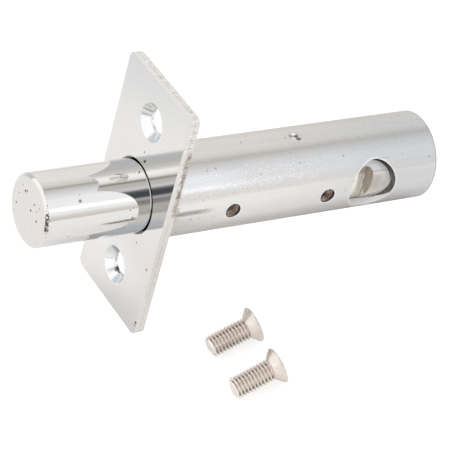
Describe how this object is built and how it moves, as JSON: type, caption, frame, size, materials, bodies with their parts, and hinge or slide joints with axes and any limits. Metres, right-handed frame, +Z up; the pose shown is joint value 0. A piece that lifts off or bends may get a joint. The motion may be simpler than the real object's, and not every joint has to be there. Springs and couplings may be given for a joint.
{
  "type": "mortise deadbolt",
  "caption": "Tubular mortise deadbolt with a countersunk face plate, a round casing tube with a side drive hole, a notched sliding bolt and loose fixing screws.",
  "frame": {"origin": "centre of the face plate's front face, midway between the two screw holes and on the bolt's axis", "axes": "+X into the door along the casing tube, away from the nose of the bolt; +Z up along the face plate; -Y towards the side with the drive hole and the tapped holes"},
  "size_m": [0.1237, 0.0693, 0.0716],
  "materials": {
    "plated_plate": "bright chrome plate with fine wear",
    "satin_tube": "satin chrome plate, slightly grainy",
    "brazing_metal": "plated over, heat stained",
    "pin_steel": "staked and plated over",
    "polished_bolt": "mirror chrome plate with small pits",
    "spring_steel": "plain spring wire",
    "ball_steel": "polished ball",
    "nickel_screws": "nickel plate, warm grey"
  },
  "bodies": {
    "case": {"face_plate": "plated_plate", "casing_tube": "satin_tube", "brazed_seam": "brazing_metal", "guide_pin": "pin_steel", "fixing_screws": "nickel_screws"},
    "bolt": {"bolt": "polished_bolt", "detent_spring": "spring_steel", "detent_ball": "ball_steel"}
  },
  "joints": [
    {"name": "bolt_slide", "type": "slide", "parent": "case", "child": "bolt", "axis": [1, 0, 0], "range_m": [0, 0.03]}
  ]
}
